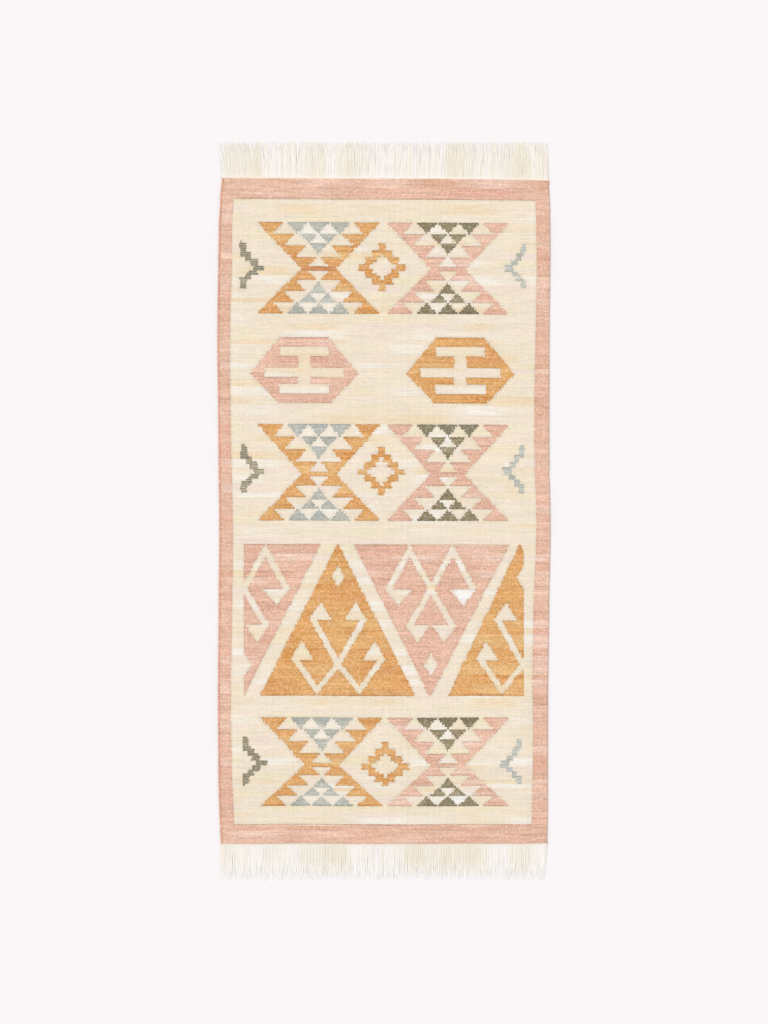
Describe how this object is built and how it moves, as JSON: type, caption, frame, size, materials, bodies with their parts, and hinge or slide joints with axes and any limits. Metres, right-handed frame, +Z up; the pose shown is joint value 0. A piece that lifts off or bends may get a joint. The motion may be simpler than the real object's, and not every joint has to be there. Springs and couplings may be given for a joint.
{
  "type": "kilim rug",
  "caption": "Flat-woven wool rug with a plain border, bands of geometric kilim motifs and a loose warp fringe at each end, laid flat.",
  "frame": {"origin": "on the floor under the middle of the whole outline, fringes included", "axes": "+X across the rug, to the right in the picture; +Y along its length, up in the picture; +Z up out of the floor"},
  "size_m": [0.7056, 1.568, 0.0042],
  "materials": {
    "kilim_wool": "matt flat weave, cream ground with coral, dusty pink, orange, olive and blue-grey",
    "warp_yarn": "matt undyed twisted yarn"
  },
  "bodies": {
    "root": {"rug_cloth": "kilim_wool", "fringe_far": "warp_yarn", "fringe_near": "warp_yarn"}
  },
  "joints": []
}
